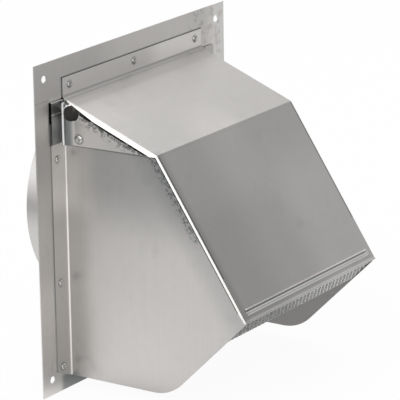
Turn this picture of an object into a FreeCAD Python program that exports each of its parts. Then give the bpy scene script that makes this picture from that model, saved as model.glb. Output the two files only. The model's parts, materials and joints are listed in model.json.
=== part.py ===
import FreeCAD, Part
import math
import os
from FreeCAD import Vector, Rotation, Placement

# Wall vent cap for a round duct, folded from sheet aluminium.
# Millimetres. X runs to the right seen from the front, -Y comes out of the wall, +Z is up.
# The origin lies on the collar's axis, in the plane of the wall plate's back face.

# Duct collar, pushed into the duct behind the wall
collar_radius = 75.5
collar_length = 42.6
collar_gauge = 0.7
collar_flange_width = 9.5
collar_corner = 0.8
collar_plate_gap = 0.1
collar_rivet_count = 6
collar_rivet_edge = 2.8

# Foam seal round the collar's mouth, and the damper's rod above it
seal_inner_gap = 0.9
seal_width = 3.2
seal_thickness = 4.4
seal_rod_gap = 2.0
rod_radius = 1.6

# Hood: it stands clear of the collar's flange at the sides and of the rod at the top
hood_side_gap = 3.5
hood_over_rod = 8.9
ridge_depth = 79.2
ridge_fall = 31.5
lip_depth = 150.3
tip_depth = 85.3

# Wall plate
plate_margin = 32.15
plate_gauge = 0.7
corner_hole_radius = 2.55
corner_hole_inset = 11.3

# Cover: one sheet folded into wall flange, top panel, front panel and hem
cover_gauge = 0.7
cover_flange_height = 14.0
cover_wall_bend = 3.6
cover_ridge_bend = 1.6
hem_leaf = 6.0
hem_gap = 0.5
side_lip_top = 4.2
side_lip_front = 2.0
side_lip_wall = 1.2
side_lip_run = 27.0
side_lip_bend = 0.9
cover_rivet_rise = 7.9
cover_rivet_inset = 8.5

# Pressed stiffening bead above the hem
bead_from_edge = 7.7
bead_width = 4.4
bead_height = 1.1
bead_end_inset = 6.0

# Cheeks: the side walls, each with a flange on the wall plate
cheek_gauge = 0.7
cheek_flange_width = 16.4
cheek_bend_radius = 0.5
cheek_below_top = 16.1
cheek_top_radius = 2.0
cheek_tip_radius = 32.0
cheek_front_radius = 3.0
cheek_heel_cut = 6.4
heel_below_screen = 23.7
tip_below_heel = 1.1
cheek_cover_gap = 0.1
cheek_rivet_inset = 6.6
cheek_rivet_below_top = 26.5
cheek_rivet_middle = -40.6
cheek_rivet_above_heel = 8.9

# Gussets: three-cornered pieces that close the sides under the cover
gusset_gauge = 0.7
gusset_below_ridge = 2.3
gusset_front_step = 0.6
gusset_tab_step = 2.6
gusset_cover_gap = 0.1
gusset_hole_radius = 5.7
gusset_hole_depth = 8.4
gusset_hole_drop = 10.7
gusset_rivet_depth = 13.6
gusset_rivet_rise = 5.1

# Bird screen: one bent sheet of open mesh across the mouth
screen_gauge = 0.8
screen_side_gap = 0.5
screen_collar_gap = 3.0
screen_wall_flange = 11.0
screen_rise = 22.0
screen_lip_inset = 18.0
lip_above_screen = 16.8
screen_front_flange = 9.0
screen_bend_radius = 0.8
screen_margin = 2.5
mesh_strand = 2.0
mesh_columns = 7
mesh_rows = 8
strip_columns = 9
strip_rows = 2
screen_rivet_inset = 18.0

# Backdraft damper: a flap that hangs from a rod in front of the duct opening
flap_gauge = 0.6
flap_overlap = 5.0
flap_corner_radius = 10.0
flap_seat_gap = 0.3
flap_top_drop = 4.0
flap_notch_drop = 12.0
flap_panel_half = 50.0
flap_panel_corner = 8.0
flap_panel_flank = 2.5
flap_panel_height = 1.5
rod_chamfer = 0.3
knuckle_gap = 0.04
knuckle_length = 18.0
knuckle_from_ear = 4.0
rod_overhang = 4.6

# Pivot brackets, bushings and rod caps
bracket_gauge = 0.8
bracket_bend_radius = 0.5
bracket_foot_width = 15.0
bracket_rivet_inset = 4.2
ear_centre = 60.0
ear_half_height = 4.2
ear_reach = 4.2
ear_corner_radius = 3.0
bushing_wall = 0.9
bushing_clearance = 0.06
bushing_seat_gap = 0.02
bushing_flange = 0.7
bushing_flange_gauge = 0.8
bushing_stand_out = 0.3
cap_radius = 2.6
cap_length = 1.6
cap_bore_gap = 0.02
cap_gap = 0.4

# Rivets: a low head in front, and a tail set flush in a countersink at the back
rivet_shank_radius = 1.6
rivet_head_radius = 3.1
small_head_radius = 2.4
rivet_head_height = 1.1
rivet_top_radius = 1.5
rivet_sides = 8
rivet_tail_radius = 2.3
rivet_tail_depth = 0.5
rivet_hole_gap = 0.05
rivet_tool_reach = 6.0

EAST = Vector(1, 0, 0)
NORTH = Vector(0, 1, 0)
UP = Vector(0, 0, 1)


def offset_corners(path, amount):
    """Corners of a path moved sideways by amount, to its left."""
    normals = []
    for (x0, y0), (x1, y1) in zip(path, path[1:]):
        length = math.hypot(x1 - x0, y1 - y0)
        normals.append(((y0 - y1) / length, (x1 - x0) / length))
    corners = []
    for index, (x, y) in enumerate(path):
        before = normals[max(index - 1, 0)]
        after = normals[min(index, len(normals) - 1)]
        scale = amount / (1 + before[0] * after[0] + before[1] * after[1])
        corners.append((x + (before[0] + after[0]) * scale, y + (before[1] + after[1]) * scale))
    return corners


def rounded_wire(points, radii, place):
    """Closed wire through the points, with an arc of the given radius at each corner."""
    spans = []
    count = len(points)
    for index, radius in enumerate(radii):
        corner = Vector(*points[index])
        back = (Vector(*points[index - 1]) - corner).normalize()
        ahead = (Vector(*points[(index + 1) % count]) - corner).normalize()
        if radius <= 0:
            spans.append((corner, None, corner))
            continue
        half = back.getAngle(ahead) / 2
        reach = radius / math.tan(half)
        bisector = (back + ahead).normalize()
        middle = corner + bisector * (radius / math.sin(half) - radius)
        spans.append((corner + back * reach, middle, corner + ahead * reach))
    edges = []
    for index, (start, middle, end) in enumerate(spans):
        if middle is not None:
            edges.append(Part.Arc(place(start), place(middle), place(end)).toShape())
        following = spans[(index + 1) % count][0]
        if (following - end).Length > 1e-6:
            edges.append(Part.LineSegment(place(end), place(following)).toShape())
    return Part.Wire(edges)


def side_place(x):
    """Places a (depth, height) point in the plane across X."""
    return lambda point: Vector(x, -point.x, point.y)


def level_place(z):
    """Places an (x, depth) point in the level plane."""
    return lambda point: Vector(point.x, -point.y, z)


def front_place(depth):
    """Places an (x, height) point in the plane that faces the front."""
    return lambda point: Vector(point.x, -depth, point.y)


def folded_section(path, radii, gauge, place):
    """Section of a folded sheet: path is its visible face, and the metal lies to its left."""
    inner = offset_corners(path, gauge)
    inner_radii = []
    for index, radius in enumerate(radii):
        if radius <= 0:
            inner_radii.append(0)
            continue
        (x0, y0), (x1, y1), (x2, y2) = path[index - 1:index + 2]
        left_turn = (x1 - x0) * (y2 - y1) - (y1 - y0) * (x2 - x1) > 0
        inner_radii.append(radius - gauge if left_turn else radius + gauge)
    points = path + inner[::-1]
    return Part.Face(rounded_wire(points, list(radii) + inner_radii[::-1], place))


def side_prism(points, radii, x_low, x_high):
    """Solid with a (depth, height) outline between two X values."""
    face = Part.Face(rounded_wire(points, radii, side_place(x_low)))
    return face.extrude(EAST * (x_high - x_low))


def front_prism(points, radii, depth, thickness):
    """Solid with an (x, height) outline, from the given depth out of the wall."""
    face = Part.Face(rounded_wire(points, radii, front_place(depth)))
    return face.extrude(NORTH * -thickness)


def box(x_low, x_high, depth_low, depth_high, z_low, z_high):
    corner = Vector(x_low, -depth_high, z_low)
    return Part.makeBox(x_high - x_low, depth_high - depth_low, z_high - z_low, corner)


def drill(x, height, radius, depth_low, depth_high):
    """Round tool along Y."""
    return Part.makeCylinder(radius, depth_high - depth_low, Vector(x, -depth_high, height), NORTH)


def cross_drill(depth, height, radius, x_low, x_high):
    """Round tool along X."""
    return Part.makeCylinder(radius, x_high - x_low, Vector(x_low, -depth, height), EAST)


def mirrored(shape):
    return shape.mirror(Vector(0, 0, 0), EAST)


def ring_of_points(radius, z):
    """Closed ring of many-sided corners about the Z axis, its flats at the given radius."""
    reach = radius / math.cos(math.pi / rivet_sides)
    turns = [2 * math.pi * index / rivet_sides for index in range(rivet_sides)]
    ring = [Vector(reach * math.cos(turn), reach * math.sin(turn), z) for turn in turns]
    return ring + ring[:1]


def many_sided(low_radius, high_radius, low, high):
    """Many-sided prism or frustum about the Z axis, all its faces flat."""
    below = ring_of_points(low_radius, low)
    above = ring_of_points(high_radius, high)
    outlines = [below, above]
    for index in range(rivet_sides):
        outlines.append([below[index], below[index + 1], above[index + 1], above[index], below[index]])
    return Part.Solid(Part.Shell([Part.Face(Part.makePolygon(outline)) for outline in outlines]))


def rivet(back, outward, grip, head_radius):
    """Rivet: back lies on the last sheet's far face, and grip is the sheets' total thickness."""
    tail = many_sided(rivet_tail_radius, rivet_shank_radius, 0, rivet_tail_depth)
    shank = many_sided(rivet_shank_radius, rivet_shank_radius, rivet_tail_depth, grip)
    head = many_sided(head_radius, rivet_top_radius, grip, grip + rivet_head_height)
    solid = head.fuse([shank, tail]).removeSplitter()
    solid.Placement = Placement(back, Rotation(UP, outward))
    return solid


def rivet_hole(back, outward):
    """Tool for a rivet's shank and countersink, long enough for any stack of sheets."""
    radius = rivet_shank_radius + rivet_hole_gap
    countersink = many_sided(rivet_tail_radius + rivet_hole_gap, radius, 0, rivet_tail_depth)
    tool = many_sided(radius, radius, 0, rivet_tool_reach).fuse(countersink)
    tool.Placement = Placement(back, Rotation(UP, outward))
    return tool


# Places worked out from the driving sizes
collar_flange_radius = collar_radius + collar_flange_width
seal_inner_radius = collar_radius + seal_inner_gap
seal_outer_radius = seal_inner_radius + seal_width
pivot_height = seal_outer_radius + seal_rod_gap + rod_radius
hood_half_width = collar_flange_radius + hood_side_gap
hood_top_height = pivot_height + hood_over_rod
ridge_height = hood_top_height - ridge_fall
half_plate = hood_half_width + plate_margin
hole_offset = half_plate - corner_hole_inset
cheek_flange_face = plate_gauge + cheek_gauge
gusset_tab_face = cheek_flange_face + gusset_gauge
cover_flange_face = plate_gauge + cover_gauge
collar_flange_face = plate_gauge + collar_gauge
bracket_foot_face = plate_gauge + bracket_gauge
gusset_outer = hood_half_width - cover_gauge
cheek_outer = gusset_outer - gusset_gauge
cheek_inner = cheek_outer - cheek_gauge
flange_edge = cheek_outer + cheek_flange_width
flap_half = collar_radius + flap_overlap
flap_back = collar_flange_face + seal_thickness + flap_seat_gap
flap_face = flap_back + flap_gauge
panel_face = flap_face + flap_panel_height
knuckle_bore = rod_radius + knuckle_gap
knuckle_radius = knuckle_bore + flap_gauge
pivot_depth = flap_face - knuckle_radius
ear_inner = ear_centre - bracket_gauge
bushing_bore = rod_radius + bushing_clearance
bushing_radius = bushing_bore + bushing_wall
hem_radius = hem_gap / 2 + cover_gauge
screen_wall_drop = collar_flange_radius + screen_collar_gap
screen_front_drop = screen_wall_drop - screen_rise
screen_front_depth = lip_depth - screen_lip_inset
lip_height = lip_above_screen - screen_front_drop
heel_drop = screen_wall_drop + heel_below_screen
tip_drop = heel_drop + tip_below_heel
cheek_top_height = hood_top_height - cheek_below_top
gusset_bottom_height = ridge_height - gusset_below_ridge
gusset_hole_height = hood_top_height - gusset_hole_drop
gusset_rivet_height = gusset_bottom_height + gusset_rivet_rise
front_length = math.hypot(lip_depth - ridge_depth, ridge_height - lip_height)
front_run = ((lip_depth - ridge_depth) / front_length, (lip_height - ridge_height) / front_length)
front_normal = (-front_run[1], front_run[0])
top_slope = (ridge_height - hood_top_height) / (ridge_depth - cover_flange_face)
screen_half_width = cheek_inner - screen_side_gap

# Rivet places on the wall plate, as (x, height)
cover_rivets = [
    (x, hood_top_height + cover_rivet_rise)
    for x in (cover_rivet_inset - hood_half_width, 0, hood_half_width - cover_rivet_inset)
]
cheek_rivet_heights = (
    cheek_top_height - cheek_rivet_below_top,
    cheek_rivet_middle,
    cheek_rivet_above_heel - heel_drop,
)
cheek_rivets = [(cheek_rivet_inset - flange_edge, height) for height in cheek_rivet_heights]
collar_rivets = [
    (math.cos(turn) * (collar_flange_radius - collar_rivet_edge),
     math.sin(turn) * (collar_flange_radius - collar_rivet_edge))
    for turn in (2 * math.pi * index / collar_rivet_count for index in range(collar_rivet_count))
]
bracket_rivet_reach = ear_centre + bracket_foot_width - bracket_rivet_inset
bracket_rivets = [(-bracket_rivet_reach, pivot_height), (bracket_rivet_reach, pivot_height)]
screen_rivets = [
    (x, -screen_wall_drop - screen_wall_flange / 2)
    for x in (screen_rivet_inset - screen_half_width, 0, screen_half_width - screen_rivet_inset)
]


def on_top(depth):
    """Height of the top panel's outer face."""
    return hood_top_height + top_slope * (depth - cover_flange_face)


def along_front(down, inward):
    """(depth, height) of a point down the front panel from the ridge, and into the hood."""
    return (
        ridge_depth + front_run[0] * down - front_normal[0] * inward,
        ridge_height + front_run[1] * down - front_normal[1] * inward,
    )


def inside_cover(inset):
    """The cover's outer line moved into the hood: its wall end, ridge and lip."""
    path = [(cover_flange_face, hood_top_height), (ridge_depth, ridge_height), (lip_depth, lip_height)]
    return offset_corners(path, -inset)


def rivet_holes(places):
    return [rivet_hole(Vector(x, 0, height), Vector(0, -1, 0)) for x, height in places]


def side_rivet_hole():
    """Tool for the rivet that joins gusset and cheek."""
    return rivet_hole(Vector(-cheek_inner, -gusset_rivet_depth, gusset_rivet_height), Vector(-1, 0, 0))


def rivet_group(places, sheet):
    """Rivets through the wall plate and one sheet on it, heads to the front."""
    solids = []
    for x, height in places:
        solids.append(rivet(Vector(x, 0, height), Vector(0, -1, 0), plate_gauge + sheet, small_head_radius))
    return Part.Compound(solids)


# Wall plate and collar

def make_wall_plate():
    corners = [(-1, -1), (1, -1), (1, 1), (-1, 1)]
    plate = front_prism([(x * half_plate, z * half_plate) for x, z in corners], [0] * 4, 0, plate_gauge)
    opening = drill(0, 0, collar_radius + collar_corner + collar_plate_gap, -1, 5)
    corner_holes = [drill(x * hole_offset, z * hole_offset, corner_hole_radius, -1, 5) for x, z in corners]
    right_cheek_rivets = [(-x, height) for x, height in cheek_rivets]
    places = cover_rivets + cheek_rivets + right_cheek_rivets + collar_rivets + bracket_rivets + screen_rivets
    return plate.cut(Part.Compound([opening] + corner_holes + rivet_holes(places)))


def make_duct_collar():
    path = [
        (collar_radius, -collar_length),
        (collar_radius, plate_gauge - collar_corner),
        (collar_radius + collar_corner, plate_gauge),
        (collar_flange_radius, plate_gauge),
    ]
    section = folded_section(path, [0] * 4, collar_gauge, level_place(0))
    collar = section.revolve(Vector(0, 0, 0), NORTH, 360)
    return collar.cut(Part.Compound(rivet_holes(collar_rivets)))


# Hood cover

def edge_rounder(start, end, inward, side):
    """Tool that rounds the cover's side edge between two (depth, height) points."""
    radius = side_lip_bend
    run = Vector(0, start[0] - end[0], end[1] - start[1])
    corner = Vector(side * hood_half_width, -start[0], start[1])
    across = Vector(-side, 0, 0)
    into = Vector(0, -inward[0], inward[1])
    middle = corner + (across + into) * (radius * (1 - math.sqrt(0.5)))
    edges = [
        Part.LineSegment(corner, corner + across * radius).toShape(),
        Part.Arc(corner + across * radius, middle, corner + into * radius).toShape(),
        Part.LineSegment(corner + into * radius, corner).toShape(),
    ]
    return Part.Face(Part.Wire(edges)).extrude(run)


def make_side_lip(x):
    """Edge of the cover turned down over the gusset and, narrower, over the cheek."""
    start = cover_flange_face + cover_wall_bend
    ridge = inside_cover(side_lip_front)[1]
    step = ridge[0] - side_lip_top
    outline = [
        (start, on_top(start)),
        (ridge_depth, ridge_height),
        along_front(front_length - hem_radius, 0),
        along_front(front_length - hem_radius, side_lip_front),
        ridge,
        (step, on_top(step) - side_lip_top),
        (side_lip_run, on_top(side_lip_run) - side_lip_top),
        (start, on_top(start) - side_lip_wall),
    ]
    radii = [0, cover_ridge_bend + cover_gauge] + [0] * 6
    return side_prism(outline, radii, x, x + cover_gauge)


def make_bead_tool(radius, inner_face):
    """Round-ended rib along the front panel, kept from the given depth in the sheet outwards."""
    centre = front_length - bead_from_edge
    arc_radius = (bead_height ** 2 + (bead_width / 2) ** 2) / (2 * bead_height)
    depth, height = along_front(centre, arc_radius - bead_height)
    reach = hood_half_width - bead_end_inset - bead_width / 2
    ends = [Part.makeSphere(radius, Vector(x, -depth, height)) for x in (-reach, reach)]
    rib = cross_drill(depth, height, radius, -reach, reach).fuse(ends)
    keep = [
        along_front(centre - bead_width, inner_face),
        along_front(centre - bead_width, -2 * bead_height),
        along_front(centre + bead_width, -2 * bead_height),
        along_front(centre + bead_width, inner_face),
    ]
    return rib.common(side_prism(keep, [0] * 4, -hood_half_width, hood_half_width))


def make_hood_cover():
    path = [
        along_front(front_length - hem_leaf, 2 * hem_radius),
        along_front(front_length, 2 * hem_radius),
        (lip_depth, lip_height),
        (ridge_depth, ridge_height),
        (cover_flange_face, hood_top_height),
        (cover_flange_face, hood_top_height + cover_flange_height),
    ]
    radii = [0, hem_radius, hem_radius, cover_ridge_bend + cover_gauge, cover_wall_bend, 0]
    section = folded_section(path, radii, cover_gauge, side_place(-hood_half_width))
    cover = section.extrude(EAST * 2 * hood_half_width)
    cover = cover.fuse([make_side_lip(-hood_half_width), make_side_lip(hood_half_width - cover_gauge)])

    top_start = cover_flange_face + cover_wall_bend
    top_begin = (top_start, on_top(top_start))
    top_inward = Vector(top_slope, -1, 0).normalize()
    ridge = (ridge_depth, ridge_height)
    front_inward = (-front_normal[0], -front_normal[1])
    lip_end = along_front(front_length - hem_radius, 0)
    rounders = []
    notches = []
    for side in (-1, 1):
        rounders.append(edge_rounder(top_begin, ridge, top_inward, side))
        rounders.append(edge_rounder(ridge, lip_end, front_inward, side))
        # The hem's inner leaf stops short of the cheek
        notch = [
            along_front(front_length - 2 * hem_leaf, cover_gauge),
            along_front(front_length + hem_leaf, cover_gauge),
            along_front(front_length + hem_leaf, hem_leaf),
            along_front(front_length - 2 * hem_leaf, hem_leaf),
        ]
        low, high = sorted((side * (cheek_inner - cheek_cover_gap), side * gusset_outer))
        notches.append(side_prism(notch, [0] * 4, low, high))
    cover = cover.cut(Part.Compound(rounders)).cut(Part.Compound(notches))

    arc_radius = (bead_height ** 2 + (bead_width / 2) ** 2) / (2 * bead_height)
    cover = cover.fuse(make_bead_tool(arc_radius, cover_gauge / 2))
    cover = cover.cut(make_bead_tool(arc_radius - cover_gauge, 1.5 * cover_gauge))
    return cover.cut(Part.Compound(rivet_holes(cover_rivets)))


# Side walls, modelled on the left and mirrored

def make_cheek():
    low = -max(tip_drop, heel_drop)
    path = [(-flange_edge, cheek_flange_face), (-cheek_outer, cheek_flange_face), (-cheek_outer, lip_depth)]
    section = folded_section(path, [0, cheek_bend_radius, 0], -cheek_gauge, level_place(low))
    cheek = section.extrude(UP * (cheek_top_height - low))
    wall_end, ridge, _ = inside_cover(cover_gauge + cheek_cover_gap)
    top_front = wall_end[0] + (cheek_top_height - wall_end[1]) / top_slope
    outline = [
        (0, -heel_drop),
        (tip_depth, -tip_drop),
        along_front(front_length, cover_gauge + cheek_cover_gap),
        ridge,
        (top_front, cheek_top_height),
        (0, cheek_top_height),
    ]
    radii = [0, cheek_tip_radius, cheek_front_radius, 0, cheek_top_radius, 0]
    cheek = cheek.common(side_prism(outline, radii, -flange_edge - 1, 0))
    heel = [
        (-flange_edge - 1, low - 1),
        (-cheek_outer - cheek_bend_radius, low - 1),
        (-cheek_outer - cheek_bend_radius, -heel_drop),
        (-flange_edge - 1, -heel_drop + cheek_heel_cut),
    ]
    tools = [front_prism(heel, [0] * 4, 0, cheek_flange_face + 1), side_rivet_hole()]
    return cheek.cut(Part.Compound(tools + rivet_holes(cheek_rivets)))


def make_gusset():
    path = [(-flange_edge, gusset_tab_face), (-gusset_outer, gusset_tab_face), (-gusset_outer, ridge_depth)]
    level = level_place(gusset_bottom_height)
    section = folded_section(path, [0, cheek_bend_radius, 0], -gusset_gauge, level)
    gusset = section.extrude(UP * (hood_top_height - gusset_bottom_height))
    wall_end, ridge, _ = inside_cover(cover_gauge + gusset_cover_gap)
    front_bottom = ridge_height - gusset_front_step - cover_gauge - gusset_cover_gap
    outline = [(0, gusset_bottom_height), (ridge[0], front_bottom), ridge, wall_end, (0, wall_end[1])]
    gusset = gusset.common(side_prism(outline, [0] * 5, -flange_edge - 1, 0))
    tab_side = -gusset_outer - cheek_bend_radius
    tab_bottom = gusset_bottom_height + gusset_tab_step
    below_tab = box(-flange_edge - 1, tab_side, 0, 5, gusset_bottom_height - 1, tab_bottom)
    window = cross_drill(gusset_hole_depth, gusset_hole_height, gusset_hole_radius, -hood_half_width, 0)
    return gusset.cut(Part.Compound([below_tab, window, side_rivet_hole()]))


def make_gusset_rivet():
    back = Vector(-cheek_inner, -gusset_rivet_depth, gusset_rivet_height)
    return rivet(back, Vector(-1, 0, 0), gusset_gauge + cheek_gauge, rivet_head_radius)


# Bird screen

def diamond_openings(start, end, columns, rows):
    """Diamond tools in staggered rows on a flat stretch between two (depth, height) ends."""
    length = math.hypot(end[0] - start[0], end[1] - start[1])
    run = Vector(0, start[0] - end[0], end[1] - start[1]).normalize()
    normal = run.cross(EAST)
    pitch_x = 2 * (screen_half_width - screen_margin) / columns
    pitch_run = (length - 2 * screen_margin) / (rows + 1)
    half_x = (pitch_x - mesh_strand) / 2
    half_run = pitch_run - mesh_strand / 2
    tools = []
    for row in range(rows):
        for column in range(columns - row % 2):
            x = -screen_half_width + screen_margin + pitch_x * (column + (1 + row % 2) / 2)
            centre = Vector(x, -start[0], start[1]) + run * (screen_margin + pitch_run * (row + 1))
            around = [EAST * half_x, run * half_run, EAST * -half_x, run * -half_run, EAST * half_x]
            outline = Part.makePolygon([centre + step - normal * 2 * screen_gauge for step in around])
            tools.append(Part.Face(outline).extrude(normal * 4 * screen_gauge))
    return tools


def make_bird_screen():
    front_inset = 2 * hem_radius + screen_gauge
    path = [
        along_front(front_length - screen_front_flange, front_inset),
        along_front(front_length, front_inset),
        (screen_front_depth, -screen_front_drop),
        (plate_gauge, -screen_wall_drop),
        (plate_gauge, -screen_wall_drop - screen_wall_flange),
    ]
    bend = screen_bend_radius
    section = folded_section(path, [0, bend, bend, bend + screen_gauge, 0], screen_gauge,
                             side_place(-screen_half_width))
    screen = section.extrude(EAST * 2 * screen_half_width)
    openings = diamond_openings(path[2], path[1], strip_columns, strip_rows)
    openings += diamond_openings(path[3], path[2], mesh_columns, mesh_rows)
    return screen.cut(Part.Compound(openings)).cut(Part.Compound(rivet_holes(screen_rivets)))


# Backdraft damper

def make_damper_flap():
    knuckle_end = ear_inner - knuckle_from_ear
    knuckle_start = knuckle_end - knuckle_length
    top = pivot_height - flap_top_drop
    shoulder = pivot_height - flap_notch_drop
    right = [
        (knuckle_start, top),
        (knuckle_start, pivot_height),
        (knuckle_end, pivot_height),
        (knuckle_end, shoulder),
        (flap_half, shoulder),
        (flap_half, -flap_half),
    ]
    outline = right + [(-x, z) for x, z in right[::-1]]
    radii = [0] * 5 + [flap_corner_radius] * 2 + [0] * 5
    flap = front_prism(outline, radii, flap_back, flap_gauge)

    # Panel pressed out of the flap, which stiffens it
    rims = []
    for half, depth in ((flap_panel_half, flap_face), (flap_panel_half - flap_panel_flank, panel_face)):
        square = [(half, half), (half, -half), (-half, -half), (-half, half)]
        rims.append(rounded_wire(square, [flap_panel_corner] * 4, front_place(depth)))
    panel = Part.makeLoft(rims, True, True)
    flap = flap.fuse(panel).cut(panel.translated(NORTH * flap_gauge))

    for x in (knuckle_start, -knuckle_end):
        bore = cross_drill(pivot_depth, pivot_height, knuckle_bore, x, x + knuckle_length)
        roll = cross_drill(pivot_depth, pivot_height, knuckle_radius, x, x + knuckle_length)
        flap = flap.fuse(roll).cut(bore)
    return flap.removeSplitter()


def make_pivot_rod():
    reach = ear_centre + rod_overhang
    rod = cross_drill(pivot_depth, pivot_height, rod_radius, -reach, reach)
    ends = [edge for edge in rod.Edges if edge.BoundBox.XLength < 1e-6]
    return rod.makeChamfer(rod_chamfer, ends)


def make_rod_caps():
    caps = []
    for x in (ear_centre + cap_gap, -ear_centre - cap_gap - cap_length):
        cap = cross_drill(pivot_depth, pivot_height, cap_radius, x, x + cap_length)
        bore = cross_drill(pivot_depth, pivot_height, rod_radius + cap_bore_gap, x, x + cap_length)
        caps.append(cap.cut(bore))
    return Part.Compound(caps)


def make_pivot_bracket():
    """Right bracket: a foot on the wall plate and an ear that stands out from it."""
    path = [
        (ear_centre + bracket_foot_width, bracket_foot_face),
        (ear_centre, bracket_foot_face),
        (ear_centre, pivot_depth + ear_reach),
    ]
    low = pivot_height - ear_half_height
    section = folded_section(path, [0, bracket_bend_radius, 0], bracket_gauge, level_place(low))
    bracket = section.extrude(UP * 2 * ear_half_height)
    reach = pivot_depth + ear_reach
    profile = [(0, low), (reach, low), (reach, low + 2 * ear_half_height), (0, low + 2 * ear_half_height)]
    radii = [0, ear_corner_radius, ear_corner_radius, 0]
    bracket = bracket.common(side_prism(profile, radii, 0, half_plate))
    seat_radius = bushing_radius + bushing_seat_gap
    seat = cross_drill(pivot_depth, pivot_height, seat_radius, 0, ear_centre + bracket_gauge)
    return bracket.cut(Part.Compound([seat] + rivet_holes(bracket_rivets)))


def make_bushing():
    """Right bushing: a sleeve through the ear with a flange on the ear's inner side."""
    end = ear_centre + bushing_stand_out
    start = ear_inner - bushing_flange_gauge
    sleeve = cross_drill(pivot_depth, pivot_height, bushing_radius, start, end)
    flange = cross_drill(pivot_depth, pivot_height, bushing_radius + bushing_flange, start, ear_inner)
    return sleeve.fuse(flange).cut(cross_drill(pivot_depth, pivot_height, bushing_bore, start, end))


def make_flap_seal():
    outer = drill(0, 0, seal_outer_radius, collar_flange_face, collar_flange_face + seal_thickness)
    return outer.cut(drill(0, 0, seal_inner_radius, collar_flange_face, collar_flange_face + seal_thickness))


cheek = make_cheek()
gusset = make_gusset()
gusset_rivet = make_gusset_rivet()
bracket = make_pivot_bracket()
bushing = make_bushing()
cheek_rivet_group = rivet_group(cheek_rivets, cheek_gauge)
parts = {
    "wall_plate": make_wall_plate(),
    "duct_collar": make_duct_collar(),
    "hood_cover": make_hood_cover(),
    "left_cheek": cheek,
    "right_cheek": mirrored(cheek),
    "left_gusset": gusset,
    "right_gusset": mirrored(gusset),
    "bird_screen": make_bird_screen(),
    "damper_flap": make_damper_flap(),
    "pivot_rod": make_pivot_rod(),
    "rod_caps": make_rod_caps(),
    "left_pivot_bracket": mirrored(bracket),
    "right_pivot_bracket": bracket,
    "left_bushing": mirrored(bushing),
    "right_bushing": bushing,
    "flap_seal": make_flap_seal(),
    "cover_rivets": rivet_group(cover_rivets, cover_gauge),
    "left_cheek_rivets": cheek_rivet_group,
    "right_cheek_rivets": mirrored(cheek_rivet_group),
    "left_gusset_rivet": gusset_rivet,
    "right_gusset_rivet": mirrored(gusset_rivet),
    "collar_rivets": rivet_group(collar_rivets, collar_gauge),
    "bracket_rivets": rivet_group(bracket_rivets, bracket_gauge),
    "screen_rivets": rivet_group(screen_rivets, screen_gauge),
}

os.makedirs("parts", exist_ok=True)
for name, shape in parts.items():
    print(name, "solids", len(shape.Solids), "valid", shape.isValid(), "volume", round(shape.Volume, 1))
    shape.exportStep("parts/" + name + ".step")
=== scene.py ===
import json
import math
import bpy
import bmesh
from mathutils import Matrix, Vector


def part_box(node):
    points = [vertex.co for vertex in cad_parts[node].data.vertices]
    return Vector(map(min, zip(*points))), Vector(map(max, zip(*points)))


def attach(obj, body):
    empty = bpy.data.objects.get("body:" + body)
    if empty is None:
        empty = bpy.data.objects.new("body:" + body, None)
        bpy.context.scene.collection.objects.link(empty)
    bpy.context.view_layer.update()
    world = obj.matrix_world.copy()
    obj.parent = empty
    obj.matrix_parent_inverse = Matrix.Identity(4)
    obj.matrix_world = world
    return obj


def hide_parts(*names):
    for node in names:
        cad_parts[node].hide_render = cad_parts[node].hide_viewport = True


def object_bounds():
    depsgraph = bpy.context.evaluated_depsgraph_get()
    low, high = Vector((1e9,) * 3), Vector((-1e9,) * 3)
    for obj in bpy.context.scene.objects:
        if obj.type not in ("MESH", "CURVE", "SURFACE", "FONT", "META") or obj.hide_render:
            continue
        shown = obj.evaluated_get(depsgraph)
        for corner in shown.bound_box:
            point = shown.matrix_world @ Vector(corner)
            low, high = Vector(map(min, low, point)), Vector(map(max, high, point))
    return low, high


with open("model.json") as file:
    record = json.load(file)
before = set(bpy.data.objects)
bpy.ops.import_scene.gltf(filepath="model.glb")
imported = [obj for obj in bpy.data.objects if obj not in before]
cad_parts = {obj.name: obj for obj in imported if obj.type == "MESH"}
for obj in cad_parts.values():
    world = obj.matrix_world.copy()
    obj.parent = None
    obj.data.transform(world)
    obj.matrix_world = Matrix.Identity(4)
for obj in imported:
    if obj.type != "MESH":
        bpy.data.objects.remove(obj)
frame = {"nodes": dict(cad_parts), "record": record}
cadBox = [list(corner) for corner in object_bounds()]
floorHeight = cadBox[0][2]
scene = bpy.context.scene
scene.view_settings.view_transform = "Standard"


# Camera: the photograph's angle, a long lens from over two metres away

camera = {
    "azimuth": -56.77,
    "elevation": 15.97,
    "roll": -0.93,
    "distance": 2.2545,
    "aside": 0.04696,
    "lift": -0.00405,
    "lens": 279.35,
    "sensor": 36.0,
    "farthest": 20.0,
}


def addCamera(setup):
    turn, rise = math.radians(setup["azimuth"]), math.radians(setup["elevation"])
    back = Vector((math.sin(turn) * math.cos(rise), -math.cos(turn) * math.cos(rise), math.sin(rise)))
    right = Vector((0, 0, 1)).cross(back).normalized()
    up = back.cross(right)
    tilt = Matrix.Rotation(math.radians(setup["roll"]), 3, back)
    right, up = tilt @ right, tilt @ up
    data = bpy.data.cameras.new("camera")
    data.lens = setup["lens"]
    data.sensor_width = setup["sensor"]
    data.sensor_fit = "HORIZONTAL"
    data.clip_end = setup["farthest"]
    eye = bpy.data.objects.new("camera", data)
    scene.collection.objects.link(eye)
    place = Matrix((right, up, back)).transposed().to_4x4()
    place.translation = back * setup["distance"] + right * setup["aside"] + up * setup["lift"]
    eye.matrix_world = place
    scene.camera = eye


addCamera(camera)
print("camera placed")


# Small helpers for node trees

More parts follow.
